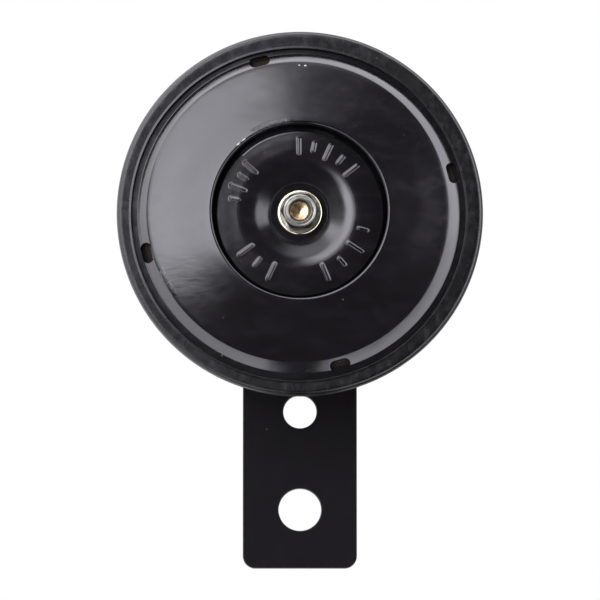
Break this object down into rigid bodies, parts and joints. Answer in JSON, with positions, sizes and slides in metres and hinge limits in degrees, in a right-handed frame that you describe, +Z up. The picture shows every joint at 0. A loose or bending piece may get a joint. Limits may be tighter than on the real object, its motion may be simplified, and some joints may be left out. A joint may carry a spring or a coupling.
{
  "type": "car horn",
  "caption": "Round electromagnetic disc horn in a black steel housing, with a coned front plate, blade terminals on the back and a flat mounting bracket below.",
  "frame": {"origin": "centre of the larger bracket hole on the bracket's rear (mounting) face", "axes": "+Z up along the bracket towards the horn, +Y out of the mounting face towards what the horn is bolted to, so the horn sounds towards -Y, +X to the right seen from the front"},
  "size_m": [0.07, 0.0393, 0.101],
  "materials": {
    "black_gloss_paint": "gloss",
    "black_satin_paint": "satin",
    "gasket_board": "matte",
    "spring_steel": "satin",
    "yellow_zinc": "satin",
    "zinc_plate": "satin",
    "white_nylon": "matte",
    "copper_wire": "gloss",
    "contact_metal": "satin",
    "brass_sheet": "satin",
    "phenolic_board": "matte",
    "black_moulding": "gloss",
    "wire_sleeve": "matte"
  },
  "bodies": {
    "horn_body": {"housing": "black_gloss_paint", "front_plate": "black_gloss_paint", "mounting_bracket": "black_satin_paint", "front_gasket": "gasket_board", "rear_gasket": "gasket_board", "diaphragm": "spring_steel", "fixed_core": "zinc_plate", "bobbin": "white_nylon", "coil_winding": "copper_wire", "yoke_plate": "zinc_plate", "contact_leaf": "spring_steel", "moving_contact": "contact_metal", "contact_strip": "brass_sheet", "fixed_contact": "contact_metal", "base_insulator": "phenolic_board", "middle_insulator": "phenolic_board", "top_insulator": "phenolic_board", "breaker_rivets": "brass_sheet", "adjusting_screw": "zinc_plate", "adjuster_locknut": "zinc_plate", "adjuster_insert": "zinc_plate", "terminal_block": "black_moulding", "inner_insulator": "phenolic_board", "left_terminal": "brass_sheet", "right_terminal": "brass_sheet", "terminal_rivets": "brass_sheet", "terminal_lead": "wire_sleeve", "spring_washer": "zinc_plate", "bracket_nut": "zinc_plate"},
    "armature_group": {"armature": "yellow_zinc", "backing_washer": "zinc_plate", "spacer_sleeve": "zinc_plate", "front_washer": "zinc_plate", "front_nut": "zinc_plate"}
  },
  "joints": [
    {"name": "armature_stroke", "type": "slide", "parent": "horn_body", "child": "armature_group", "axis": [0, 1, 0], "range_m": [-0.0002, 0.0004], "stiffness_N_per_m": 1500, "deforming": ["diaphragm", "front_plate", "contact_leaf"]}
  ]
}
